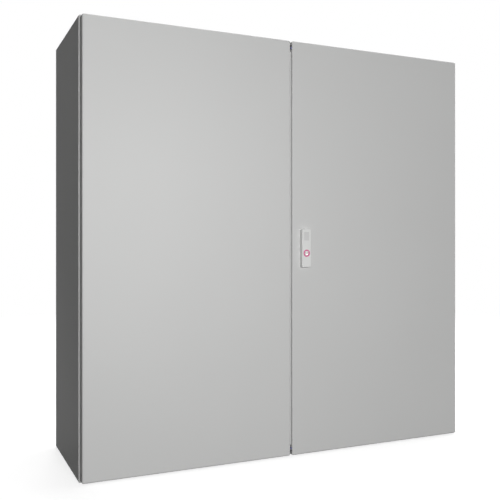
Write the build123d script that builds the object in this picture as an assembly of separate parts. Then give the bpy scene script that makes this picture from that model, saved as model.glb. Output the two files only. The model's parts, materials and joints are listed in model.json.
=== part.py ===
from build123d import *
import math
import os

# Two-door wall-mounted electrical enclosure in folded sheet steel, doors closed and unlocked.
# X runs to the right, Y to the back, Z up. The origin is under the middle of the case.
# The left leaf (-X) carries the strip that covers the gap, the right leaf carries the lock.

# Case
case_width = 1000.0
case_height = 1000.0
case_depth = 297.0
case_sheet = 1.5
case_corner = 3.0
rim_width = 31.0
lip_height = 14.5
back_flange_width = 15.0
panel_play = 0.5
wall_hole_inset = 25.0
wall_hole_diameter = 10.0

# Mounting plate on welded studs
plate_side_margin = 50.0
plate_end_margin = 30.0
plate_thickness = 3.0
plate_fold = 15.0
plate_stand_off = 22.0
stud_diameter = 8.0
stud_side_inset = 90.0
stud_end_inset = 75.0
stud_spare = 12.5
spacer_diameter = 16.0
bolt_play = 0.5

# Gland plates in the floor
gland_margin = 50.0
gland_length = 400.0
gland_depth = 200.0
gland_offset = -5.0
gland_border = 20.0
gland_plate_thickness = 2.0
gland_gasket_thickness = 2.0
gland_screw_diameter = 5.0
gland_screw_inset = 9.0
gland_screw_pitch = 95.0
floor_recess = 0.3

# Doors
door_margin = 3.0
door_gap = 4.0
door_rim_gap = 3.0
door_depth = 20.0
door_skin = 2.0
door_corner = 4.5
door_bend = 4.0
gasket_width = 8.0
gasket_lip_play = 0.3
gasket_free_inset = 4.2
gap_strip_lip = 3.4
gap_strip_sheet = 1.4
gap_strip_set_back = 6.0
lip_notch_play = 2.0
seal_end_inset = 10.0
seal_end_length = 15.0

# Perforated frame behind each door
frame_gear_play = 2.0
frame_inset_hinge = 41.0
frame_inset_end = 41.0
frame_width = 20.0
frame_height = 15.0
frame_sheet = 1.5
frame_pitch = 25.0
frame_hole = 4.5
frame_stud_diameter = 6.0
frame_stud_pitch = 225.0

# Hinges
hinge_inset = 7.0
hinge_end_distance = 117.0
hinge_pin_diameter = 5.0
hinge_knuckle_radius = 4.5
hinge_arm_height = 24.0
hinge_lug_height = 14.0
hinge_end_play = 0.4
hinge_foot_height = 52.0
hinge_foot_width = 8.0
hinge_arm_sheet = 3.0
hinge_screw_diameter = 5.0
pin_play = 0.05

# Lock
rod_gasket_play = 0.4375
lock_height_drop = 12.0
trim_width = 26.5
trim_height = 94.5
trim_depth = 10.0
trim_wall = 2.0
trim_draft = 8.0
trim_end_radius = 48.0
housing_radius = 8.2
bore_radius = 5.7
insert_radius = 5.63
ring_radius = 8.6
bit_recess_radius = 4.4
bit_recess_depth = 9.0
square_side = 7.0
square_play = 0.05
cam_overlap = 8.0
cam_width = 12.0
cam_thickness = 3.0
flange_play = 1.5

# Rack and pinion, rods
gear_module = 1.25
gear_teeth = 16
gear_angle = 20.0
gear_backlash = 0.3
rod_width = 7.0
rod_thickness = 4.0
rod_rim_play = 1.0
rod_travel_angle = 90.0
rod_tip_length = 12.0
rod_tip_wall = 0.5
rod_rest_gap = 2.5
guide_wall = 2.5
slide_play = 0.3
gear_case_sheet = 2.0
spacer_radius = 3.0

# Turning latches on the left leaf
latch_offset = 26.0
latch_inset = 57.0
latch_reach = 45.0
latch_width = 12.0
latch_pin_radius = 4.0
latch_sheet = 2.0

# Earthing studs
earth_stud_diameter = 6.0
earth_stud_length = 18.0

# Worked out from the sizes above
half_width = case_width / 2
mid_z = case_height / 2
rim_front = -case_depth / 2
rim_back = rim_front + case_sheet
case_back = case_depth / 2
panel_back = case_back - case_sheet
panel_front = panel_back - case_sheet
lip_outer = half_width - rim_width
lip_inner = lip_outer - case_sheet
lip_front = rim_front - lip_height
door_back = rim_front - door_rim_gap
door_front = door_back - door_depth
skin_back = door_front + door_skin
door_side = half_width - door_margin
door_free = door_gap / 2
gasket_outer = (lip_outer + lip_inner + gasket_width) / 2
gasket_back = lip_front - gasket_lip_play
lip_end = rim_width
gasket_end = lip_end + case_sheet / 2 - gasket_width / 2
plate_back = panel_front - plate_stand_off
plate_front = plate_back - plate_thickness
pivot_x = door_side - hinge_inset
pivot_y = (door_front + door_back) / 2
pitch_radius = gear_module * gear_teeth / 2
tooth_root = 1.25 * gear_module
guide_side = guide_wall + slide_play
free_gasket_end = door_free + gasket_free_inset + gasket_width
lock_x = free_gasket_end + rod_gasket_play + guide_side + rod_width + tooth_root + pitch_radius
lock_z = mid_z - lock_height_drop
cam_reach = lock_x + cam_overlap
tooth_tip = gear_module
rod_travel = pitch_radius * math.radians(rod_travel_angle)
rod_front = rim_back + rod_rim_play
rod_back = rod_front + rod_thickness
cam_front = door_back + flange_play
cam_back = cam_front + cam_thickness
gear_case_front = rod_back + 2.0
gear_case_back = gear_case_front + gear_case_sheet
upper_rod_x = lock_x + pitch_radius + tooth_root
lower_rod_x = lock_x - pitch_radius - tooth_root
gear_case_right = upper_rod_x + rod_width + 2 * spacer_radius + 1.4
frame_free_edge = gear_case_right + frame_gear_play


def slab(sketch, y_front, y_back):
    # A sketch drawn in X and Z, given its thickness along Y.
    plane = Plane(origin=(0, y_back, 0), x_dir=(1, 0, 0), z_dir=(0, -1, 0))
    return extrude(plane * sketch, amount=y_back - y_front)


def block(x0, x1, y0, y1, z0, z1):
    place = Pos((x0 + x1) / 2, (y0 + y1) / 2, (z0 + z1) / 2)
    return place * Box(abs(x1 - x0), abs(y1 - y0), abs(z1 - z0))


def round_y(x, z, radius, y0, y1):
    return slab(Pos(x, z) * Circle(radius), y0, y1)


def round_z(x, y, radius, z0, z1):
    return Pos(x, y, (z0 + z1) / 2) * Cylinder(radius, z1 - z0)


def round_x(y, z, radius, x0, x1):
    return Pos((x0 + x1) / 2, y, z) * Rot(0, 90, 0) * Cylinder(radius, x1 - x0)


def hex_y(x, z, across, y0, y1):
    return slab(Pos(x, z) * RegularPolygon(across / 2, 6, major_radius=False), y0, y1)


def ring_sketch(x0, x1, z0, z1, width, corner=0.0):
    # A rectangular frame of one width all round, in X and Z.
    centre = Pos((x0 + x1) / 2, (z0 + z1) / 2)
    wide, high = x1 - x0, z1 - z0
    hole = Rectangle(wide - 2 * width, high - 2 * width)
    if corner > 0:
        return centre * (RectangleRounded(wide, high, corner) - hole)
    return centre * (Rectangle(wide, high) - hole)


def spread(start, end, pitch):
    # Evenly spaced places from start to end, no further apart than the pitch.
    steps = max(1, math.ceil((end - start) / pitch - 1e-6))
    return [start + (end - start) * i / steps for i in range(steps + 1)]


def mirror_x(part):
    return mirror(part, about=Plane.YZ)


def flip_z(part):
    # The same piece at the other end of the enclosure.
    return mirror(part, about=Plane.XY.offset(mid_z))


def save(name, solids):
    pieces = solids if isinstance(solids, list) else [solids]
    flat = [solid for piece in pieces for solid in piece.solids()]
    export_step(flat[0] if len(flat) == 1 else Compound(children=flat), f"parts/{name}.step")


# Case

def gland_places():
    # Screw places round one gland plate, from the plate's middle, in X and Y.
    half_x = gland_length / 2 - gland_screw_inset
    half_y = gland_depth / 2 - gland_screw_inset
    along = [(x, y) for x in spread(-half_x, half_x, gland_screw_pitch) for y in (-half_y, half_y)]
    across = spread(-half_y, half_y, gland_screw_pitch)[1:-1]
    return along + [(x, y) for y in across for x in (-half_x, half_x)]


gland_x = gland_margin + gland_length / 2
gland_hole_sketch = Rectangle(gland_length - 2 * gland_border, gland_depth - 2 * gland_border)


def gland_sheet(side, z0, z1, hole_radius, open_middle):
    sketch = Rectangle(gland_length, gland_depth)
    if open_middle:
        sketch -= gland_hole_sketch
    sketch -= Sketch() + [Pos(x, y) * Circle(hole_radius) for x, y in gland_places()]
    return Pos(side * gland_x, gland_offset, z0) * extrude(sketch, amount=z1 - z0)


def hinge_heights():
    return [hinge_end_distance + door_margin, mid_z, case_height - hinge_end_distance - door_margin]


hinge_foot_x = lip_outer + 0.2 + hinge_foot_width / 2
hinge_screw_offset = hinge_foot_height / 2 - 8


def case_shell():
    outline = Pos(0, mid_z) * RectangleRounded(case_width, case_height, case_corner)
    inside = Pos(0, mid_z) * RectangleRounded(
        case_width - 2 * case_sheet, case_height - 2 * case_sheet, case_corner - case_sheet
    )
    front_hole = Pos(0, mid_z) * Rectangle(2 * lip_inner, case_height - 2 * (lip_end + case_sheet))
    back_opening = Rectangle(
        case_width - 2 * back_flange_width, case_height - 2 * back_flange_width
    )
    shell = slab(outline - inside, rim_front, case_back)
    rim_holes = Sketch() + [
        Pos(side * hinge_foot_x, z + step) * Circle(hinge_screw_diameter / 2 + bolt_play / 2)
        for side in (-1, 1)
        for z in hinge_heights()
        for step in (-hinge_screw_offset, hinge_screw_offset)
    ]
    shell += slab(outline - front_hole - rim_holes, rim_front, rim_back)
    shell += slab(outline - Pos(0, mid_z) * back_opening, panel_back, case_back)
    lip = ring_sketch(-lip_outer, lip_outer, lip_end, case_height - lip_end, case_sheet)
    shell += slab(lip, lip_front, rim_front)
    for side in (-1, 1):
        place = Pos(side * gland_x, gland_offset, -1)
        shell -= place * extrude(gland_hole_sketch, amount=case_sheet + 2)
        taps = Sketch() + [
            Pos(x, y) * Circle(gland_screw_diameter / 2 + 0.05) for x, y in gland_places()
        ]
        shell -= place * extrude(taps, amount=case_sheet + 2)
    return shell


def rear_panel():
    wide = case_width - 2 * (case_sheet + panel_play)
    high = case_height - 2 * (case_sheet + panel_play)
    sheet = Pos(0, mid_z) * Rectangle(wide, high)
    sheet -= Sketch() + [
        Pos(sx * (half_width - wall_hole_inset), mid_z + sz * (mid_z - wall_hole_inset))
        * Circle(wall_hole_diameter / 2)
        for sx in (-1, 1)
        for sz in (-1, 1)
    ]
    return slab(sheet, panel_front, panel_back)


def stud_places():
    x = half_width - stud_side_inset
    heights = (stud_end_inset, mid_z, case_height - stud_end_inset)
    return [(side * x, z) for side in (-1, 1) for z in heights]


def mounting_plate():
    half = half_width - plate_side_margin
    low, high = plate_end_margin, case_height - plate_end_margin
    sheet = Pos(0, mid_z) * RectangleRounded(2 * half, high - low, 5.0)
    sheet -= Sketch() + [
        Pos(x, z) * Circle((stud_diameter + 2 * bolt_play) / 2) for x, z in stud_places()
    ]
    plate = slab(sheet, plate_front, plate_back)
    for side in (-1, 1):
        edge = side * half
        fold_low, fold_high = low + 10, high - 10
        plate += block(edge - side * plate_thickness, edge, plate_front,
                       plate_back + plate_fold, fold_low, fold_high)
    return plate


def mounting_studs():
    front = plate_front - stud_spare
    return [round_y(x, z, stud_diameter / 2, front, panel_front) for x, z in stud_places()]


def mounting_spacers():
    return [
        round_y(x, z, spacer_diameter / 2, plate_back, panel_front)
        - round_y(x, z, stud_diameter / 2 + bolt_play, plate_back - 1, panel_front + 1)
        for x, z in stud_places()
    ]


def flange_nut(x, z, stud, y_seat):
    # A hexagon nut with a round flange, sitting against a face that looks to the front.
    height = stud
    nut = hex_y(x, z, 1.6 * stud, y_seat - height, y_seat)
    nut += round_y(x, z, 1.05 * stud, y_seat - 0.2 * height, y_seat)
    return nut - round_y(x, z, stud / 2 + 0.05, y_seat - height - 1, y_seat + 1)


def back_nut(x, z, stud, y_seat):
    # The same nut against a face that looks to the back.
    height = 0.8 * stud
    nut = hex_y(x, z, 1.65 * stud, y_seat, y_seat + height)
    nut += round_y(x, z, 1.05 * stud, y_seat, y_seat + 0.2 * height)
    return nut - round_y(x, z, stud / 2 + 0.05, y_seat - 1, y_seat + height + 1)


def gland_screws():
    top = case_sheet + gland_gasket_thickness + gland_plate_thickness
    screws = []
    for side in (-1, 1):
        for x, y in gland_places():
            place = Pos(side * gland_x + x, gland_offset + y)
            shank = place * round_z(0, 0, gland_screw_diameter / 2, floor_recess, top)
            head = place * Pos(0, 0, top) * extrude(
                RegularPolygon(0.8 * gland_screw_diameter, 6, major_radius=False), amount=3.5
            )
            washer = place * round_z(0, 0, gland_screw_diameter, top, top + 1)
            screws.append(shank + head + washer)
    return screws


# Hinges. Each is drawn round its own pivot: across is towards the middle of the door,
# back is towards the case, and the pieces are then placed on the right-hand side.

foot_near = pivot_x - hinge_foot_x - hinge_foot_width / 2
foot_far = foot_near + hinge_foot_width
rim_distance = rim_front - pivot_y
skin_distance = pivot_y - skin_back
gasket_near = pivot_x - gasket_outer
arm_front = -(skin_distance - 0.5)
lug_near = door_bend + 0.1 - hinge_inset
arm_reach = math.hypot(gasket_near, gasket_back - pivot_y) - 0.4


def hinge_block(across0, across1, back0, back1, z0, z1):
    return block(pivot_x - across1, pivot_x - across0, pivot_y + back0, pivot_y + back1, z0, z1)


def hinge_bracket(z):
    half = hinge_arm_height / 2
    foot_half = hinge_foot_height / 2
    arm = hinge_block(0, foot_near + hinge_arm_sheet, arm_front, -hinge_arm_sheet, z - half, z + half)
    arm += hinge_block(foot_near, foot_near + hinge_arm_sheet, arm_front, 1.5, z - half, z + half)
    arm &= round_z(pivot_x, pivot_y, arm_reach, z - half, z + half)
    foot = hinge_block(foot_near, foot_far, 1, rim_distance, z - foot_half, z + foot_half)
    bracket = arm + foot + round_z(pivot_x, pivot_y, hinge_knuckle_radius, z - half, z + half)
    bracket -= round_z(pivot_x, pivot_y, hinge_pin_diameter / 2 + pin_play, z - half - 1, z + half + 1)
    for step in (-hinge_screw_offset, hinge_screw_offset):
        tap = round_y(hinge_foot_x, z + step, hinge_screw_diameter / 2 + 0.05,
                      rim_front - 9, rim_front + 1)
        bracket -= tap
    return bracket


def hinge_screw(z):
    head_back = rim_back + 3.5
    screw = round_y(hinge_foot_x, z, hinge_screw_diameter / 2, rim_front - 8, rim_back)
    screw += round_y(hinge_foot_x, z, 4.5, rim_back, head_back)
    return screw - hex_y(hinge_foot_x, z, 3.0, head_back - 2, head_back + 1)


def hinge_pin(z):
    top = hinge_arm_height / 2 + hinge_end_play + hinge_lug_height
    pin = round_z(pivot_x, pivot_y, hinge_pin_diameter / 2, z - top, z + top + 0.4)
    return pin + round_z(pivot_x, pivot_y, hinge_knuckle_radius - 0.5, z + top + 0.4, z + top + 2)


def hinge_lugs(z):
    # Two welded lugs on the door, above and below the arm of the bracket.
    lugs = []
    for side in (-1, 1):
        near = z + side * (hinge_arm_height / 2 + hinge_end_play)
        far = near + side * hinge_lug_height
        low, high = min(near, far), max(near, far)
        lug = hinge_block(lug_near, 9, -skin_distance, -skin_distance + hinge_arm_sheet, low, high)
        lug += hinge_block(lug_near, hinge_knuckle_radius, -skin_distance, 0, low, high)
        lug += round_z(pivot_x, pivot_y, hinge_knuckle_radius, low, high)
        lug -= round_z(pivot_x, pivot_y, hinge_pin_diameter / 2 + pin_play, low - 1, high + 1)
        lugs.append(lug)
    return lugs


# Doors, drawn on the right-hand side

def frame_stud_places():
    inset = frame_width / 2
    x0 = frame_free_edge + inset
    x1 = door_side - frame_inset_hinge - inset
    z0 = door_margin + frame_inset_end + inset
    z1 = case_height - z0
    middle = [(x, z) for z in spread(z0, z1, frame_stud_pitch)[1:-1] for x in (x0, x1)]
    return [(x, z) for x in (x0, x1) for z in (z0, z1)] + middle


def lip_notches(x0, x1):
    # The free edge is cut away where the case's lip crosses it, at the bottom and the top.
    low = lip_end - lip_notch_play
    high = lip_end + case_sheet + lip_notch_play
    notch = block(x0, x1, lip_front - lip_notch_play / 2, door_back + 1, low, high)
    return notch + flip_z(notch)


def door_panel():
    wide = door_side - door_free
    high = case_height - 2 * door_margin
    centre = Pos((door_side + door_free) / 2, mid_z)
    pan = slab(centre * RectangleRounded(wide, high, door_corner), door_front, door_back)
    pan = fillet(pan.faces().sort_by(Axis.Y)[0].edges(), door_bend)
    hollow = slab(
        centre * RectangleRounded(wide - 2 * door_skin, high - 2 * door_skin, door_corner - door_skin),
        skin_back, door_back + 1,
    )
    hollow = fillet(hollow.faces().sort_by(Axis.Y)[0].edges(), door_bend - door_skin)
    pan -= hollow
    pan -= lip_notches(door_free - 1, door_free + door_skin + 0.5)
    stud_end = skin_back + frame_height + frame_stud_diameter + 1
    for x, z in frame_stud_places():
        pan += round_y(x, z, frame_stud_diameter / 2, skin_back - 0.5, stud_end)
    return pan


def door_gasket():
    x0 = door_free + gasket_free_inset
    outer = ring_sketch(x0, gasket_outer, gasket_end, case_height - gasket_end, gasket_width)
    return slab(outer, skin_back, gasket_back)


def door_frame():
    x0 = frame_free_edge
    x1 = door_side - frame_inset_hinge
    z0 = door_margin + frame_inset_end
    z1 = case_height - z0
    back = skin_back + frame_height
    ring = slab(ring_sketch(x0, x1, z0, z1, frame_width, 3.0), skin_back, back)
    groove = ring_sketch(x0 + frame_sheet, x1 - frame_sheet, z0 + frame_sheet, z1 - frame_sheet,
                         frame_width - 2 * frame_sheet)
    ring -= slab(groove, skin_back - 1, back - frame_sheet)
    studs = frame_stud_places()
    middle = frame_width / 2
    uprights = [(x, z) for x in (x0 + middle, x1 - middle)
                for z in spread(z0 + middle, z1 - middle, frame_pitch)]
    rails = [(x, z) for z in (z0 + middle, z1 - middle)
             for x in spread(x0 + middle, x1 - middle, frame_pitch)[1:-1]]
    near_stud = frame_hole + 2 * frame_stud_diameter
    holes = [Pos(x, z) * Circle(frame_hole / 2) for x, z in uprights + rails
             if all(math.hypot(x - sx, z - sz) > near_stud for sx, sz in studs)]
    holes += [Pos(x, z) * Circle(frame_stud_diameter / 2 + bolt_play / 2) for x, z in studs]
    return ring - slab(Sketch() + holes, back - frame_sheet - 0.5, back + 1)


def frame_nuts():
    seat = skin_back + frame_height
    return [back_nut(x, z, frame_stud_diameter, seat) for x, z in frame_stud_places()]


def door_earth_place():
    x = (door_side + door_free) / 2
    return x, door_margin + frame_inset_end + 2.5 * frame_width


def door_earth_stud():
    x, z = door_earth_place()
    return round_y(x, z, earth_stud_diameter / 2, skin_back, skin_back + earth_stud_length)


def door_earth_nut():
    x, z = door_earth_place()
    return back_nut(x, z, earth_stud_diameter, skin_back + 1.0) + (
        round_y(x, z, earth_stud_diameter, skin_back, skin_back + 1.0)
        - round_y(x, z, earth_stud_diameter / 2 + 0.05, skin_back - 1, skin_back + 2)
    )


# Left leaf only

strip_low = seal_end_inset + seal_end_length + door_margin


def gap_cover_strip():
    lip_y = door_front + gap_strip_set_back
    low, high = strip_low, case_height - strip_low
    strip = block(-door_free, -door_free + gap_strip_lip, lip_y, lip_y + gap_strip_sheet, low, high)
    strip += block(-door_free, -door_free + gap_strip_sheet, lip_y, door_back - 0.5, low, high)
    return strip - lip_notches(-door_free - 1, door_free)


def gap_seal_end():
    high = case_height - door_margin - seal_end_inset
    front = door_front + gap_strip_set_back - 2
    return block(-door_free, -door_free + gap_strip_lip, front, door_back, high - seal_end_length, high)


latch_x = -door_free - latch_offset
latch_z = case_height - door_margin - latch_inset
latch_front = rim_back + 0.5
latch_back = latch_front + rod_thickness
bracket_back = latch_front - 1.0


def latch_bracket():
    # A hat-shaped bracket welded to the back of the skin.
    half = 9.0
    x0, x1 = latch_x - half, latch_x + half
    legs = latch_z + half + latch_sheet
    web = block(x0, x1, bracket_back - latch_sheet, bracket_back, latch_z - half, latch_z + half)
    bracket = web
    for side in (-1, 1):
        near, far = latch_z + side * half, latch_z + side * (half + latch_sheet)
        bracket += block(x0, x1, skin_back, bracket_back, min(near, far), max(near, far))
        foot = far + side * 8
        bracket += block(x0, x1, skin_back, skin_back + latch_sheet, min(far, foot), max(far, foot))
    return bracket - round_y(latch_x, latch_z, latch_pin_radius + 0.02, bracket_back - 5, bracket_back + 1)


def latch_pivot():
    pin = round_y(latch_x, latch_z, latch_pin_radius, bracket_back - latch_sheet, latch_back + 0.6)
    pin += round_y(latch_x, latch_z, latch_pin_radius + 1.6, bracket_back, latch_front - 0.35)
    pin += round_y(latch_x, latch_z, latch_pin_radius + 2.4, latch_back + 0.35, latch_back + 2.6)
    back_head = bracket_back - latch_sheet
    return pin + round_y(latch_x, latch_z, latch_pin_radius + 2, back_head - 1.5, back_head)


def latch_lever():
    # At rest the lever lies level and the leaf is free to open.
    bar = block(latch_x - latch_reach, latch_x, latch_front, latch_back,
                latch_z - latch_width / 2, latch_z + latch_width / 2)
    bar += round_y(latch_x, latch_z, latch_width / 2 + 1.5, latch_front, latch_back)
    bar += round_y(latch_x - latch_reach, latch_z, latch_width / 2, latch_front, latch_back)
    grip_x = latch_x - 0.62 * latch_reach
    bar += block(grip_x - 2, grip_x + 2, latch_back, latch_back + 14,
                 latch_z - latch_width / 2, latch_z + latch_width / 2)
    return bar - round_y(latch_x, latch_z, latch_pin_radius + 0.06, latch_front - 1, latch_back + 1)


# Lock on the right leaf

trim_front = door_front - trim_depth
housing_back = cam_front - 0.5
ring_front = trim_front - 0.8
ring_back = trim_front + 3.0
nut_back = skin_back + 5.5
insert_front = trim_front + 0.6
spindle_back = gear_case_back + 0.4
insert_back = cam_front
label_z = mid_z + 28.7
label_width = 13.5
label_height = 20.5


def trim_outline(wide, high, corner):
    # Straight sides, and ends that bow outwards.
    bow = trim_end_radius - math.sqrt(trim_end_radius ** 2 - (wide / 2) ** 2)
    straight = high / 2 - bow
    left_up, top, right_up = (-wide / 2, straight), (0, high / 2), (wide / 2, straight)
    left_low, bottom, right_low = (-wide / 2, -straight), (0, -high / 2), (wide / 2, -straight)
    edges = ThreePointArc(left_up, top, right_up) + Line(right_up, right_low)
    edges += ThreePointArc(right_low, bottom, left_low) + Line(left_low, left_up)
    shape = make_face(edges)
    return fillet(shape.vertices(), corner)


def lock_trim():
    # A drafted plastic escutcheon, hollow at the back, with a boss for the lock.
    base = trim_outline(trim_width, trim_height, 2.5)
    plane = Plane(origin=(lock_x, door_front, mid_z), x_dir=(1, 0, 0), z_dir=(0, -1, 0))
    shape = extrude(plane * base, amount=trim_depth, taper=trim_draft)
    shape = fillet(shape.faces().sort_by(Axis.Y)[0].edges(), 1.0)
    inset = 2 * trim_wall + 1.5
    cavity = trim_outline(trim_width - inset, trim_height - inset, 1.5)
    shape -= extrude(plane.offset(-1) * cavity, amount=trim_depth - trim_wall + 1, taper=trim_draft)
    shape += round_y(lock_x, lock_z, housing_radius + 1.0, trim_front + 1, door_front)
    shape -= round_y(lock_x, lock_z, housing_radius + 0.05, trim_front - 1, door_front + 1)
    shape -= round_y(lock_x, lock_z, ring_radius + 0.05, trim_front - 1, ring_back)
    shape -= slab(Pos(lock_x, label_z) * Rectangle(label_width, label_height),
                  trim_front - 1, trim_front + 0.5)
    return shape


def lock_label_plate():
    sheet = Rectangle(label_width - 0.2, label_height - 0.2)
    return slab(Pos(lock_x, label_z) * sheet, trim_front - 0.05, trim_front + 0.5)


def lock_ring():
    ring = round_y(lock_x, lock_z, ring_radius, ring_front, ring_back)
    ring = fillet(ring.faces().sort_by(Axis.Y)[0].edges(), 0.5)
    return ring - round_y(lock_x, lock_z, insert_radius + 0.07, ring_front - 1, ring_back + 1)


def lock_housing():
    tube = round_y(lock_x, lock_z, housing_radius, ring_back, housing_back)
    return tube - round_y(lock_x, lock_z, bore_radius, ring_back - 1, housing_back + 1)


def lock_clamp_nut():
    nut = hex_y(lock_x, lock_z, 2 * housing_radius + 4, skin_back + 1.0, nut_back)
    nut += round_y(lock_x, lock_z, housing_radius + 3, skin_back, skin_back + 1.0)
    return nut - round_y(lock_x, lock_z, housing_radius + 0.05, skin_back - 1, nut_back + 1)


def square_hole(y0, y1):
    side = square_side + 2 * square_play
    return slab(Pos(lock_x, lock_z) * Rectangle(side, side), y0, y1)


def lock_insert():
    # A round plug with a double-bit recess in front and a square spindle behind.
    plug = round_y(lock_x, lock_z, insert_radius, insert_front, insert_back)
    recess_back = insert_front + bit_recess_depth
    plug -= round_y(lock_x, lock_z, bit_recess_radius, insert_front - 1, recess_back)
    plug += round_y(lock_x, lock_z, 1.5, insert_front + 0.6, recess_back)
    wing = Rectangle(5.6, 1.2)
    plug += slab(Pos(lock_x, lock_z) * wing, insert_front + 0.6, recess_back)
    spindle_end = gear_case_front - 0.4
    plug += slab(Pos(lock_x, lock_z) * Rectangle(square_side, square_side), insert_back, spindle_end)
    plug += round_y(lock_x, lock_z, square_side / 2, spindle_end, spindle_back)
    return plug - round_y(lock_x, lock_z, 1.6, spindle_back - 8, spindle_back + 1)


def latch_cam():
    # At rest the cam points up; turned, it reaches behind the flange of the left leaf.
    bar = Pos(lock_x, lock_z + cam_reach / 2 - cam_width / 4) * Rectangle(cam_width, cam_reach - cam_width / 2)
    bar += Pos(lock_x, lock_z) * Circle(cam_width * 0.75)
    bar += Pos(lock_x, lock_z + cam_reach - cam_width / 2) * Circle(cam_width / 2)
    return slab(bar, cam_front, cam_back) - square_hole(cam_front - 1, cam_back + 1)


def involute_point(base_radius, angle, turn):
    along = base_radius * (math.cos(angle) + angle * math.sin(angle))
    up = base_radius * (math.sin(angle) - angle * math.cos(angle))
    return (along * math.cos(turn) - up * math.sin(turn), along * math.sin(turn) + up * math.cos(turn))


def pinion_tooth():
    # One involute tooth pointing along +X, drawn round the origin.
    pressure = math.radians(gear_angle)
    base = pitch_radius * math.cos(pressure)
    tip = pitch_radius + tooth_tip
    root = pitch_radius - tooth_root
    half_tooth = (math.pi * gear_module / 2 - gear_backlash) / 2 / pitch_radius
    turn = half_tooth + math.tan(pressure) - pressure
    last = math.sqrt((tip / base) ** 2 - 1)
    flank = [involute_point(base, last * i / 4, 0) for i in range(5)]
    lower = [(x * math.cos(-turn) - y * math.sin(-turn), x * math.sin(-turn) + y * math.cos(-turn))
             for x, y in flank]
    upper = [(x, -y) for x, y in reversed(lower)]
    inner = root - 0.5
    foot_low = (inner * math.cos(-turn), inner * math.sin(-turn))
    foot_high = (foot_low[0], -foot_low[1])
    side_low = Spline([Vector(*p) for p in lower])
    side_high = Spline([Vector(*p) for p in upper])
    top = Line(lower[-1], upper[0])
    edges = Line(foot_low, lower[0]) + side_low + top + side_high + Line(upper[-1], foot_high)
    return make_face(edges + Line(foot_high, foot_low))


def lock_pinion():
    wheel = Circle(pitch_radius - tooth_root)
    tooth = pinion_tooth()
    for i in range(gear_teeth):
        wheel += Rot(0, 0, 360 * i / gear_teeth) * tooth
    gear = slab(Pos(lock_x, lock_z) * wheel, rod_front, rod_back)
    collar = round_y(lock_x, lock_z, pitch_radius - 3, cam_back, rod_front)
    collar += round_y(lock_x, lock_z, pitch_radius - 3, rod_back, gear_case_front - 0.4)
    return gear + collar - square_hole(cam_back - 1, gear_case_front + 1)


def spindle_screw():
    head_back = spindle_back + 3
    screw = round_y(lock_x, lock_z, 5.5, spindle_back, head_back)
    screw += round_y(lock_x, lock_z, 1.5, spindle_back - 7, spindle_back)
    return screw - hex_y(lock_x, lock_z, 3.0, head_back - 2, head_back + 1)


rack_pitch = math.pi * gear_module
rack_spare = 2
rack_steps = math.ceil(rod_travel / rack_pitch)
rack_low = lock_z - (rack_steps + rack_spare + 0.5) * rack_pitch
rod_stop = lip_end + case_sheet + rod_rest_gap
upper_reach = case_height - rod_stop - lock_z
lower_reach = lock_z - rod_stop


# Rods, drawn as the upper one: each reaches from the lock to just short of the rim.

def bar_end(reach):
    return lock_z + reach - rod_tip_length


def rack_rod(reach):
    # A flat bar with a rack on the side that faces the pinion.
    bar_high = bar_end(reach)
    slope = math.tan(math.radians(gear_angle))
    half_pitch_line = (rack_pitch / 2 - gear_backlash) / 2
    half_root = half_pitch_line + tooth_root * slope
    half_tip = half_pitch_line - tooth_tip * slope
    teeth = []
    for i in range(-rack_steps - rack_spare, rack_spare):
        z = lock_z + (i + 0.5) * rack_pitch
        x_root, x_tip = upper_rod_x + 0.2, lock_x + pitch_radius - tooth_tip
        slant = half_root + 0.2 * slope
        teeth.append(make_face(Polyline((x_root, z - slant), (x_tip, z - half_tip),
                                        (x_tip, z + half_tip), (x_root, z + slant), close=True)))
    bar = Pos(upper_rod_x + rod_width / 2, (rack_low + bar_high) / 2) * Rectangle(rod_width, bar_high - rack_low)
    for tooth in teeth:
        bar += tooth
    rod = slab(bar, rod_front, rod_back)
    return rod - round_y(upper_rod_x + rod_width / 2, bar_high - 6, 1.6, rod_front - 1, rod_back + 1)


def rod_tip(reach):
    # A moulded end that slides behind the rim: it grips the bar and is pinned to it.
    bar_high = bar_end(reach)
    x0, x1 = upper_rod_x - rod_tip_wall, upper_rod_x + rod_width + rod_tip_wall
    y0, y1 = rod_front - rod_tip_wall, rod_back + rod_tip_wall
    grip = 10.0
    tip = block(x0, x1, y0, y1, bar_high - grip, bar_high + rod_tip_length)
    tip = chamfer(tip.faces().sort_by(Axis.Z)[-1].edges(), 1.2)
    tip -= block(upper_rod_x, upper_rod_x + rod_width, rod_front, rod_back, bar_high - grip - 1, bar_high)
    return tip + round_y(upper_rod_x + rod_width / 2, bar_high - 6, 1.6, rod_front - 0.2, rod_back + 0.2)


def lower_side(part):
    # Half a turn about the lock takes a piece of the upper rod to its place on the lower one.
    return Pos(lock_x, 0, lock_z) * Rot(0, 180, 0) * Pos(-lock_x, 0, -lock_z) * part


def rod_guide(z):
    x0 = upper_rod_x - guide_side
    x1 = upper_rod_x + rod_width + guide_side
    half = 7.0
    guide = block(x0, x1, skin_back, rod_back + guide_side, z - half, z + half)
    guide -= block(upper_rod_x - slide_play, upper_rod_x + rod_width + slide_play,
                   rod_front - slide_play, rod_back + slide_play, z - half - 1, z + half + 1)
    lightened = block(x0 + 2, x1 - 2, skin_back + 3, rod_front - slide_play - 2, z - half - 1, z + half + 1)
    return guide - lightened


def guide_heights(reach):
    low, high = lock_z + 110, bar_end(reach) - rod_travel - 20
    return [low, (low + high) / 2, high]


gear_case_low = lock_z - 48
gear_case_high = lock_z + 60
gear_case_left = lower_rod_x - rod_width - 2


def gear_case_places():
    right = gear_case_right - spacer_radius - 0.4
    return [(lock_x, gear_case_low + 8), (lock_x, gear_case_high - 8),
            (right, lock_z - 30), (right, lock_z + 36)]


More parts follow.
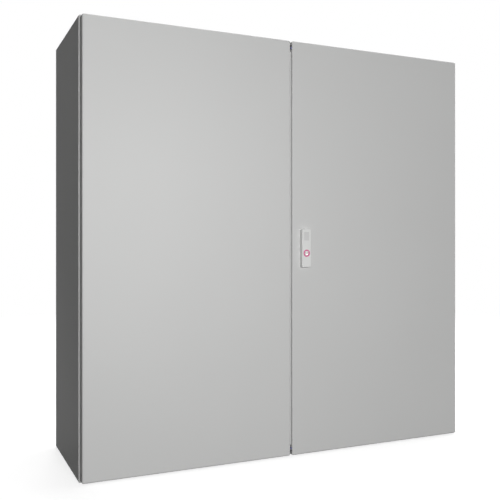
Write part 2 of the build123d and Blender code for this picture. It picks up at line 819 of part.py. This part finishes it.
def gear_case():
    middle = Pos((gear_case_left + gear_case_right) / 2, (gear_case_low + gear_case_high) / 2)
    sheet = middle * RectangleRounded(gear_case_right - gear_case_left, gear_case_high - gear_case_low, 4.0)
    sheet -= Pos(lock_x, lock_z) * Circle(square_side / 2 + 0.08)
    sheet -= Sketch() + [Pos(x, z) * Circle(1.7) for x, z in gear_case_places()]
    return slab(sheet, gear_case_front, gear_case_back)


def gear_case_spacers():
    return [round_y(x, z, spacer_radius, skin_back, gear_case_front)
            - round_y(x, z, 1.55, gear_case_front - 8, gear_case_front + 1)
            for x, z in gear_case_places()]


def gear_case_screws():
    return [round_y(x, z, 1.5, gear_case_front - 7, gear_case_back)
            + round_y(x, z, 2.8, gear_case_back, gear_case_back + 2)
            for x, z in gear_case_places()]


def case_earth():
    # A stud on the left side wall, with a nut and washer on it.
    x = -half_width + case_sheet
    y, z = rim_front + 80, 90.0
    stud = round_x(y, z, earth_stud_diameter / 2 + 1, x, x + earth_stud_length)
    bore = round_x(y, z, earth_stud_diameter / 2 + 1.05, x - 1, x + earth_stud_length + 1)
    nut = Pos(x + 1, y, z) * Rot(0, 90, 0) * extrude(RegularPolygon(6.5, 6, major_radius=False), amount=6)
    washer = round_x(y, z, 8.0, x, x + 1)
    return stud, (nut + washer) - bore


os.makedirs("parts", exist_ok=True)

save("case_shell", case_shell())
save("rear_panel", rear_panel())
save("mounting_plate", mounting_plate())
save("mounting_studs", mounting_studs())
save("mounting_spacers", mounting_spacers())
save("mounting_nuts", [flange_nut(x, z, stud_diameter, plate_front) for x, z in stud_places()])
gland_gasket_top = case_sheet + gland_gasket_thickness
gland_plate_top = gland_gasket_top + gland_plate_thickness
for side, word in ((-1, "left"), (1, "right")):
    hole = gland_screw_diameter / 2 + bolt_play
    save(f"gland_gasket_{word}", gland_sheet(side, case_sheet, gland_gasket_top, hole, True))
    save(f"gland_plate_{word}", gland_sheet(side, gland_gasket_top, gland_plate_top, hole, False))
save("gland_screws", gland_screws())
earth_stud, earth_nut = case_earth()
save("case_earth_stud", earth_stud)
save("case_earth_nut", earth_nut)

right_brackets = [hinge_bracket(z) for z in hinge_heights()]
right_pins = [hinge_pin(z) for z in hinge_heights()]
right_screws = [hinge_screw(z + step) for z in hinge_heights()
                for step in (-hinge_screw_offset, hinge_screw_offset)]
right_lugs = [lug for z in hinge_heights() for lug in hinge_lugs(z)]
panel, gasket, frame = door_panel(), door_gasket(), door_frame()
nuts, door_stud, door_nut = frame_nuts(), door_earth_stud(), door_earth_nut()
for word, place in (("right", lambda part: part), ("left", mirror_x)):
    save(f"{word}_hinge_brackets", [place(part) for part in right_brackets])
    save(f"{word}_hinge_pins", [place(part) for part in right_pins])
    save(f"{word}_hinge_lugs", [place(part) for part in right_lugs])
    save(f"{word}_door_gasket", place(gasket))
    save(f"{word}_door_frame", place(frame))
    save(f"{word}_door_frame_nuts", [place(part) for part in nuts])
    save(f"{word}_door_earth_stud", place(door_stud))
    save(f"{word}_door_earth_nut", place(door_nut))
save("hinge_bracket_screws", right_screws + [mirror_x(part) for part in right_screws])

skin_hole = round_y(lock_x, lock_z, housing_radius + 0.1, door_front - 1, skin_back + 1)
save("right_door_panel", panel - skin_hole)
save("left_door_panel", mirror_x(panel))

save("gap_cover_strip", gap_cover_strip())
save("gap_seal_ends", [gap_seal_end(), flip_z(gap_seal_end())])
save("latch_brackets", [latch_bracket(), flip_z(latch_bracket())])
save("latch_pivots", [latch_pivot(), flip_z(latch_pivot())])
save("upper_latch_lever", latch_lever())
save("lower_latch_lever", flip_z(latch_lever()))

save("lock_trim", lock_trim())
save("lock_label_plate", lock_label_plate())
save("lock_ring", lock_ring())
save("lock_housing", lock_housing())
save("lock_clamp_nut", lock_clamp_nut())
save("lock_insert", lock_insert())
save("latch_cam", latch_cam())
save("lock_pinion", lock_pinion())
save("spindle_screw", spindle_screw())
save("gear_case", gear_case())
save("gear_case_spacers", gear_case_spacers())
save("gear_case_screws", gear_case_screws())
save("upper_rod", rack_rod(upper_reach))
save("upper_rod_tip", rod_tip(upper_reach))
save("upper_rod_guides", [rod_guide(z) for z in guide_heights(upper_reach)])
save("lower_rod", lower_side(rack_rod(lower_reach)))
save("lower_rod_tip", lower_side(rod_tip(lower_reach)))
save("lower_rod_guides", [lower_side(rod_guide(z)) for z in guide_heights(lower_reach)])
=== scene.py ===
import json
import math

import bmesh
import bpy
from mathutils import Matrix, Vector


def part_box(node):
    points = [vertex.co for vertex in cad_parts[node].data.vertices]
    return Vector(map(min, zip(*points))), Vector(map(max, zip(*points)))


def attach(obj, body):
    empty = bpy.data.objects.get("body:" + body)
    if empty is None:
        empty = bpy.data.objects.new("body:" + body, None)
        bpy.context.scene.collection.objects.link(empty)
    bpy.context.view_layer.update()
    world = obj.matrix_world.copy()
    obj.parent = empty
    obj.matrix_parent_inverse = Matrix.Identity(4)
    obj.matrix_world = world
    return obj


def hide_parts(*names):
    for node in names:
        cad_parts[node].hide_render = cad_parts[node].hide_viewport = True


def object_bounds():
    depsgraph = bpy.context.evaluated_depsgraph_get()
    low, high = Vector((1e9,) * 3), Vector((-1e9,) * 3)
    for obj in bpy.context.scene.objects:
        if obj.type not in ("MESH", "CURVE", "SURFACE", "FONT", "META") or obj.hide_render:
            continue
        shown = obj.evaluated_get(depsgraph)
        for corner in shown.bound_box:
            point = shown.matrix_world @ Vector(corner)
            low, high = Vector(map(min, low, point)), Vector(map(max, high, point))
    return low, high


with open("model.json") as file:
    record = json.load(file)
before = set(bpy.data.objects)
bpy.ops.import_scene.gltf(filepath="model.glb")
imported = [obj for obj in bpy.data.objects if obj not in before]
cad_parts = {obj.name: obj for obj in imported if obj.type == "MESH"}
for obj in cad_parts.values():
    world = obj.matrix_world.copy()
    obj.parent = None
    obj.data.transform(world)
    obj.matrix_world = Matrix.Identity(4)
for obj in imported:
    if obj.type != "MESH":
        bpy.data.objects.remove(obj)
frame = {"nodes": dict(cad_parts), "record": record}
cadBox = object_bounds()
nodes = frame["nodes"]
print("frame loaded,", len(nodes), "nodes")


# Shader maths: a wrapped socket, so that masks can be written as sums and products

class Sock:
    def __init__(self, sheet, socket):
        self.sheet = sheet
        self.socket = socket

    def calc(self, operation, *values):
        return self.sheet.add("ShaderNodeMath", {"operation": operation}, dict(enumerate(values)))

    def __add__(self, other):
        return self.calc("ADD", self, other)

    def __radd__(self, other):
        return self.calc("ADD", other, self)

    def __sub__(self, other):
        return self.calc("SUBTRACT", self, other)

    def __rsub__(self, other):
        return self.calc("SUBTRACT", other, self)

    def __mul__(self, other):
        return self.calc("MULTIPLY", self, other)

    def __gt__(self, other):
        return self.calc("GREATER_THAN", self, other)

    def size(self):
        return self.calc("ABSOLUTE", self)

    def most(self, other):
        return self.calc("MAXIMUM", self, other)


class Finish:
    # The nodes of one material, or of the world
    def __init__(self, owner, ending="ShaderNodeOutputMaterial"):
        owner.use_nodes = True
        self.owner = owner
        self.ending = ending
        self.tree = owner.node_tree
        self.tree.nodes.clear()

    def add(self, kind, settings=None, inputs=None, output=0):
        node = self.tree.nodes.new(kind)
        for key, value in (settings or {}).items():
            setattr(node, key, value)
        for key, value in (inputs or {}).items():
            if isinstance(value, Sock):
                self.tree.links.new(value.socket, node.inputs[key])
            elif isinstance(value, tuple) and len(value) == 3 and node.inputs[key].type == "RGBA":
                node.inputs[key].default_value = (*value, 1.0)
            else:
                node.inputs[key].default_value = value
        return Sock(self, node.outputs[output]) if node.outputs else None

    def place(self):
        return self.add("ShaderNodeTexCoord", output="Object")

    def noise(self, where, scale, detail=2.0, rough=0.5):
        values = {"Vector": where, "Scale": scale, "Detail": detail, "Roughness": rough}
        return self.add("ShaderNodeTexNoise", None, values)

    def stretch(self, where, scale, turn=(0.0, 0.0, 0.0)):
        values = {"Vector": where, "Scale": scale, "Rotation": turn}
        return self.add("ShaderNodeMapping", None, values)

    def blend(self, mask, first, second):
        values = {0: mask, 6: first, 7: second}
        return self.add("ShaderNodeMix", {"data_type": "RGBA"}, values, 2)

    def bump(self, height, distance, strength, under=None):
        values = {"Height": height, "Distance": distance, "Strength": strength}
        if under is not None:
            values["Normal"] = under
        return self.add("ShaderNodeBump", None, values)

    def shown(self):
        # 1 for what the camera sees, straight on, in a mirror or through glass
        eye, mirror, glass = [self.add("ShaderNodeLightPath", output=kind)
                              for kind in ("Is Camera Ray", "Is Glossy Ray", "Is Transmission Ray")]
        return eye.most(mirror).most(glass)

    def mix(self, share, first, second):
        return self.add("ShaderNodeMixShader", None, {0: share, 1: first, 2: second})

    def close(self, shader):
        self.add(self.ending, None, {"Surface": shader})
        return self.owner

    def surface(self, values):
        return self.close(self.add("ShaderNodeBsdfPrincipled", None, values))


def finish(name):
    return Finish(bpy.data.materials.new(name))


black = (0.0, 0.0, 0.0)
white = (1.0, 1.0, 1.0)


def mixTo(colour, other, share):
    return tuple(a + (b - a) * share for a, b in zip(colour, other))


def around(colour, share):
    # The darker and the lighter neighbour of a colour
    return mixTo(colour, black, share), mixTo(colour, white, share)


# Powder coat on the case and on the two leaves

paint = {
    "caseColour": (0.600, 0.602, 0.596),
    "leftColour": (0.610, 0.612, 0.606),
    "rightColour": (0.602, 0.604, 0.598),
    "drift": 0.035,      # how far the colour wanders over a metre
    "fleck": 0.05,       # light and dark grains of powder
    "grain": 1150.0,     # grains per metre
    "peel": 230.0,       # the slower swell under the grain
    "panelWave": 3.1,    # waves per metre of a rolled sheet
    "grainHeight": 0.00010,
    "peelHeight": 0.00012,
    "waveHeight": 0.0016,
    "cloud": 2.3,        # the scale of the drift, and how far it differs from coat to coat
    "cloudStep": 0.2,
    "turnStep": 0.13,
    "fleckReach": 0.4,
    "grainRough": 0.18,
    "cloudRough": 0.08,
    "rough": 0.60,
    "sheen": 0.09,       # specular level: the coat is nearly matt
}


def powderCoat(name, colour, seed):
    f = finish(name)
    where = f.stretch(f.place(), white, (0.0, 0.0, paint["turnStep"] * seed))
    grain = f.noise(where, paint["grain"], 3.0, 0.6)
    peel = f.noise(where, paint["peel"])
    cloud = f.noise(where, paint["cloud"] + paint["cloudStep"] * seed)
    wave = f.noise(where, paint["panelWave"], 1.0)
    tone = f.blend(cloud, *around(colour, paint["drift"]))
    fleckShare = (grain - 0.5).size() * paint["fleck"] * 2.0
    fleckTone = f.blend(grain > 0.5, *around(colour, paint["fleckReach"]))
    tone = f.blend(fleckShare, tone, fleckTone)
    swell = f.bump(wave, paint["waveHeight"], 0.35)
    swell = f.bump(peel, paint["peelHeight"], 0.5, swell)
    swell = f.bump(grain, paint["grainHeight"], 0.55, swell)
    return f.surface({
        "Base Color": tone,
        "Roughness": (paint["rough"] + (grain - 0.5) * paint["grainRough"]
                      + (cloud - 0.5) * paint["cloudRough"]),
        "Normal": swell,
        "IOR": 1.5,
        "Specular IOR Level": paint["sheen"],
    })


# Sheet zinc, plated screws and cast pieces

metal = {
    "zincDark": (0.36, 0.37, 0.38),
    "zincPale": (0.50, 0.51, 0.52),
    "spangle": 62.0,     # crystals per metre, with edges bent by a noise
    "bend": 0.012,
    "bendScale": 45.0,
    "brush": 900.0,
    "zincGrain": 700.0,
    "stain": 6.0,
    "plateGrain": 1500.0,
    "castLumps": 160.0,
    "castGrain": 1200.0,
    "plateCool": (0.70, 0.72, 0.74),
    "plateWarm": (0.74, 0.72, 0.64),
    "castDark": (0.30, 0.30, 0.31),
    "castPale": (0.47, 0.47, 0.48),
}


def sheetZinc(name):
    f = finish(name)
    where = f.place()
    drift = f.add("ShaderNodeTexNoise", None, {"Vector": where, "Scale": metal["bendScale"]}, 1)
    bent = f.add("ShaderNodeVectorMath", {"operation": "MULTIPLY_ADD"},
                 {0: drift, 1: (metal["bend"],) * 3, 2: where})
    cells = f.add("ShaderNodeTexVoronoi", {"feature": "F1"},
                  {"Vector": bent, "Scale": metal["spangle"], "Randomness": 1.0}, "Color")
    tint = f.add("ShaderNodeSeparateColor", None, {"Color": cells})
    brush = f.noise(f.stretch(where, (1.0, 1.0, 0.02)), metal["brush"])
    fine = f.noise(where, metal["zincGrain"], 3.0)
    stain = f.noise(where, metal["stain"], 4.0, 0.6)
    share = tint * 0.6 + fine * 0.2 + stain * 0.2
    return f.surface({
        "Base Color": f.blend(share, metal["zincDark"], metal["zincPale"]),
        "Metallic": 0.80 - stain * 0.12,
        "Roughness": 0.46 + tint * 0.12 + brush * 0.08,
        "Normal": f.bump(fine, 0.00006, 0.35, f.bump(tint, 0.00008, 0.25)),
    })


def platedSteel(name):
    f = finish(name)
    where = f.place()
    cloud = f.noise(where, 38.0, 3.0)
    fine = f.noise(where, metal["plateGrain"], 3.0)
    return f.surface({
        "Base Color": f.blend(cloud, metal["plateCool"], metal["plateWarm"]),
        "Metallic": 1.0,
        "Roughness": 0.24 + cloud * 0.10 + fine * 0.10,
        "Normal": f.bump(fine, 0.00004, 0.4),
    })


def castZinc(name):
    f = finish(name)
    where = f.place()
    coarse = f.noise(where, metal["castLumps"], 4.0, 0.6)
    fine = f.noise(where, metal["castGrain"], 3.0)
    return f.surface({
        "Base Color": f.blend(coarse, metal["castDark"], metal["castPale"]),
        "Metallic": 0.85,
        "Roughness": 0.42 + fine * 0.18,
        "Normal": f.bump(fine, 0.00008, 0.5, f.bump(coarse, 0.0002, 0.3)),
    })


# The lock: plug in satin nickel, ring in tinted plastic, trim and blank plate in plastic

lock = {
    "nickel": (0.86, 0.855, 0.84),
    "nickelWorn": (0.68, 0.67, 0.66),
    "ring": (0.66, 0.10, 0.28),
    "trim": (0.70, 0.705, 0.695),
    "plate": (0.60, 0.60, 0.595),
    "grain": 1900.0,
    "wear": 320.0,
    "scratch": 2600.0,
    "cloud": 55.0,
    "drift": 0.03,
}


def satinNickel(name):
    f = finish(name)
    where = f.place()
    wear = f.noise(where, lock["wear"], 4.0, 0.65)
    fine = f.noise(f.stretch(where, (1.0, 0.05, 1.0)), lock["scratch"])
    return f.surface({
        "Base Color": f.blend(wear, lock["nickelWorn"], lock["nickel"]),
        "Metallic": 1.0,
        "Roughness": 0.20 + wear * 0.12,
        "Normal": f.bump(fine, 0.00003, 0.5),
    })


def mouldedPlastic(name, colour, rough, grainHeight):
    f = finish(name)
    where = f.place()
    grain = f.noise(where, lock["grain"], 3.0, 0.6)
    cloud = f.noise(where, lock["cloud"])
    return f.surface({
        "Base Color": f.blend(cloud, *around(colour, lock["drift"])),
        "Roughness": rough + (grain - 0.5) * 0.14 + (cloud - 0.5) * 0.06,
        "Normal": f.bump(grain, grainHeight, 0.5),
        "IOR": 1.49,
    })


# Foam seals, and the rubber blocks at the ends of the gap, with a black band of painted shade on
# their outer ends for the dark hole there

rubber = {
    "foam": (0.020, 0.020, 0.022),
    "foamPale": (0.060, 0.060, 0.064),
    "endShadeBlack": (0.008, 0.009, 0.013),
    # the black below is painted shade, the dark hole at each end of the gap, not a colour of the
    # rubber
    "endBlue": (0.100, 0.105, 0.245),
    "pores": 900.0,
    "cloud": 60.0,
    "grain": 800.0,
    "shadeFrom": 0.4815,     # distance from mid-height where the blue rubber gives way to painted shade, black for the dark hole at the gap's end
}


def foamSeal(name):
    f = finish(name)
    where = f.place()
    pores = f.add("ShaderNodeTexVoronoi", {"feature": "F1"},
                  {"Vector": where, "Scale": rubber["pores"]}, "Distance")
    cloud = f.noise(where, rubber["cloud"], 3.0)
    return f.surface({
        "Base Color": f.blend(cloud, rubber["foam"], rubber["foamPale"]),
        "Roughness": 0.82 + pores * 0.12,
        "Normal": f.bump(pores, 0.00025, 0.5),
    })


def endRubberAndShade(name, middle):
    f = finish(name)
    where = f.place()
    height = f.add("ShaderNodeSeparateXYZ", None, {"Vector": where}, 2)
    # beyond this height the block is painted black as shade for the dark hole at each end of the
    # gap; the blue is the rubber's own colour
    shadedEnd = (height - middle).size() > rubber["shadeFrom"]
    fine = f.noise(where, rubber["grain"])
    return f.surface({
        "Base Color": f.blend(shadedEnd, rubber["endBlue"], rubber["endShadeBlack"]),
        "Roughness": 0.55 + fine * 0.2,
        "Normal": f.bump(fine, 0.00008, 0.4),
    })


caseMiddle = (cadBox[0] + cadBox[1]) / 2
finishes = {
    "case_paint": powderCoat("casePowder", paint["caseColour"], 1),
    "left_door_paint": powderCoat("leftLeafPowder", paint["leftColour"], 2),
    "right_door_paint": powderCoat("rightLeafPowder", paint["rightColour"], 3),
    "galvanised_sheet": sheetZinc("galvanisedSheet"),
    "zinc_fasteners": platedSteel("brightZincPlate"),
    "cast_zinc": castZinc("castZinc"),
    "lock_metal": satinNickel("satinNickel"),
    "seal_foam": foamSeal("foamSeal"),
    "seal_end_rubber": endRubberAndShade("gapEndRubberAndShade", caseMiddle.z),
    "lock_plastic": mouldedPlastic("trimPlastic", lock["trim"], 0.38, 0.00006),
    "label_sheet": mouldedPlastic("blankPlate", lock["plate"], 0.30, 0.00002),
    "guide_plastic": mouldedPlastic("blackNylon", (0.030, 0.030, 0.032), 0.42, 0.00008),
}
ringFinish = mouldedPlastic("ringPlastic", lock["ring"], 0.30, 0.00004)
slotOf = {entry["node"]: entry["material_slot"] for entry in frame["record"]["subparts"]}
for name, node in nodes.items():
    material = ringFinish if name == "lock_ring" else finishes[slotOf[name]]
    node.data.materials.clear()
    node.data.materials.append(material)
print("finishes on", len(nodes), "nodes")


# New pieces

def newMesh(name, build):
    shape = bmesh.new()
    build(shape)
    bmesh.ops.remove_doubles(shape, verts=shape.verts, dist=1e-6)
    bmesh.ops.recalc_face_normals(shape, faces=shape.faces)
    mesh = bpy.data.meshes.new(name)
    shape.to_mesh(mesh)
    shape.free()
    piece = bpy.data.objects.new(name, mesh)
    bpy.context.scene.collection.objects.link(piece)
    return piece


# The poured foam bead on the back of each leaf: crowned, and soft at its corners

bead = {"width": 0.0078, "crown": 0.0026, "crownSteps": 5, "corner": 0.010, "cornerSteps": 6}


def sealBead(side):
    low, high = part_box(side + "_door_gasket")

    def build(shape):
        bmesh.ops.create_grid(shape, x_segments=1, y_segments=1, size=0.5)
        spread = Matrix.Diagonal((high.x - low.x, high.z - low.z, 1.0, 1.0))
        bmesh.ops.transform(shape, matrix=spread, verts=shape.verts)
        bmesh.ops.bevel(shape, geom=shape.verts[:], affect="VERTICES", offset=bead["corner"],
                        segments=bead["cornerSteps"], profile=0.5, material=-1)
        inner = bmesh.ops.inset_region(shape, faces=shape.faces[:], thickness=bead["width"],
                                       use_even_offset=True, use_boundary=True)
        ring = inner["faces"]
        middle = [face for face in shape.faces if face not in ring]
        bmesh.ops.delete(shape, geom=middle, context="FACES")
        made = bmesh.ops.extrude_face_region(shape, geom=shape.faces[:])
        top = [item for item in made["geom"] if isinstance(item, bmesh.types.BMVert)]
        bmesh.ops.translate(shape, verts=top, vec=(0.0, 0.0, high.y - low.y))
        raised = set(top)
        crownEdges = [edge for edge in shape.edges
                      if edge.verts[0] in raised and edge.verts[1] in raised
                      and any(not all(v in raised for v in face.verts) for face in edge.link_faces)]
        bmesh.ops.bevel(shape, geom=crownEdges, affect="EDGES", offset=bead["crown"],
                        segments=bead["crownSteps"], profile=0.5, material=-1)
        turn = Matrix.Rotation(math.radians(-90.0), 4, "X")
        bmesh.ops.transform(shape, matrix=turn, verts=shape.verts)
        middlePlace = Vector(((low.x + high.x) / 2, low.y, (low.z + high.z) / 2))
        bmesh.ops.translate(shape, verts=shape.verts, vec=middlePlace)

    piece = newMesh(side + "_seal_bead", build)
    piece.data.materials.append(finishes["seal_foam"])
    for face in piece.data.polygons:
        face.use_smooth = True
    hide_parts(side + "_door_gasket")
    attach(piece, side + "_door")
    return piece


for side in ("left", "right"):
    sealBead(side)
print("seal beads made")


# The rubber blocks that close the ends of the gap, nearly flush with the leaves; their outer ends
# carry a black band of painted shade

block = {"tall": 0.0095, "back": 0.0005, "round": 0.0006, "steps": 3}


def buildGapEnds(shape):
    low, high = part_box("gap_seal_ends")
    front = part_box("left_door_panel")[0].y + block["back"]
    for bottom in (low.z, high.z - block["tall"]):
        size = Vector((high.x - low.x, high.y - front, block["tall"]))
        middle = Vector(((low.x + high.x) / 2, (front + high.y) / 2, bottom + block["tall"] / 2))
        bmesh.ops.create_cube(shape, size=1.0, matrix=Matrix.LocRotScale(middle, None, size))
    bmesh.ops.bevel(shape, geom=shape.edges[:], affect="EDGES", offset=block["round"],
                    segments=block["steps"], profile=0.5, material=-1)


gapEndBlocksAndShade = newMesh("gapEndBlocksAndShade", buildGapEnds)
gapEndBlocksAndShade.data.materials.append(finishes["seal_end_rubber"])
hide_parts("gap_seal_ends")
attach(gapEndBlocksAndShade, "left_door")
print("gap ends made")


# Floor and world: white to the camera, dull to the light that bounces, with the shadow kept

stage = {
    "cloth": (0.42, 0.42, 0.42),     # the part of the floor's white that a shadow takes away
    "glow": 0.80,
    "bounce": (0.06, 0.06, 0.06),
    "size": 120.0,
    "under": 0.0005,                 # how far the floor lies below the case
    "near": 1.8,                     # from here the floor fades into the white beyond
    "far": 3.6,
    "fill": 0.020,                   # the world's light on the object
}


def floorFinish(name):
    f = finish(name)
    cloth = f.add("ShaderNodeBsdfDiffuse", None, {"Color": stage["cloth"]})
    glow = f.add("ShaderNodeEmission", None, {"Color": white, "Strength": stage["glow"]})
    close = f.add("ShaderNodeAddShader", None, {0: cloth, 1: glow})
    distant = f.add("ShaderNodeEmission", None, {"Color": white, "Strength": 1.0})
    away = f.add("ShaderNodeVectorMath", {"operation": "LENGTH"}, {0: f.place()}, "Value")
    fade = f.add("ShaderNodeMapRange", None,
                 {"Value": away, "From Min": stage["near"], "From Max": stage["far"]})
    dull = f.add("ShaderNodeBsdfDiffuse", None, {"Color": stage["bounce"]})
    return f.close(f.mix(f.shown(), dull, f.mix(fade, close, distant)))


def skyFinish(name):
    f = Finish(bpy.data.worlds.new(name), "ShaderNodeOutputWorld")
    fill, plain = [f.add("ShaderNodeBackground", None, {"Color": white, "Strength": strength})
                   for strength in (stage["fill"], 1.0)]
    return f.close(f.mix(f.shown(), fill, plain))


def buildFloor(shape):
    bmesh.ops.create_grid(shape, x_segments=2, y_segments=2, size=stage["size"] / 2)
    bmesh.ops.translate(shape, verts=shape.verts, vec=(0.0, 0.0, cadBox[0].z - stage["under"]))


floor = newMesh("studioFloor", buildFloor)
floor.data.materials.append(floorFinish("studioFloorWhite"))
bpy.context.scene.world = skyFinish("studio")


# Lamps: wide ones far in front, small ones near the left leaf, and others behind, above and
# to the right, which leave the front and the left wall alone

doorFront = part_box("left_door_panel")[0].y
lampList = [
    # name, place, aim, width across, share of full brightness
    ("frontLeft", (-1.9, -5.0, 0.9), (0.0, doorFront, 0.5), 1.6, 0.14),
    ("frontMiddle", (-0.2, -5.2, 0.9), (0.0, doorFront, 0.5), 1.6, 0.53),
    ("edgeHigh", (-0.47, -0.91, 0.66), (-0.47, doorFront, 0.66), 0.22, 0.226),
    ("middleNear", (-0.15, -1.10, 0.50), (-0.15, doorFront, 0.50), 0.26, 0.08),
    ("rightSide", (4.6, 1.2, 1.9), (0.5, 0.0, 0.5), 1.8, 0.62),
    ("behind", (0.6, 5.0, 2.0), (0.0, 0.15, 0.5), 2.0, 0.62),
    ("above", (0.3, 0.3, 4.6), (0.0, 0.0, 0.9), 1.8, 0.55),
]
for name, place, aim, width, share in lampList:
    light = bpy.data.lights.new(name, "AREA")
    light.shape = "DISK"
    light.size = width
    away = Vector(aim) - Vector(place)
    light.energy = share * math.pi ** 2 * away.length_squared
    holder = bpy.data.objects.new(name, light)
    holder.location = place
    holder.rotation_euler = away.to_track_quat("-Z", "Y").to_euler()
    holder.visible_camera = False
    bpy.context.scene.collection.objects.link(holder)
print("lamps set")


# Camera, level, a little above mid-height

view = {
    "at": (-0.7876, -1.6739, 0.5098),
    "turn": 24.307,
    "lens": 50.92,
    "lift": -0.0118,
    "sensor": 36.0,
    "reach": (0.05, 200.0),
}
camera = bpy.data.objects.new("studioCamera", bpy.data.cameras.new("studioCamera"))
camera.data.sensor_width = view["sensor"]
camera.data.lens = view["lens"]
camera.data.shift_y = view["lift"]
camera.location = view["at"]
camera.rotation_euler = (math.radians(90.0), 0.0, math.radians(-view["turn"]))
camera.data.clip_start, camera.data.clip_end = view["reach"]
bpy.context.scene.collection.objects.link(camera)
bpy.context.scene.camera = camera
bpy.context.scene.view_settings.view_transform = "Standard"
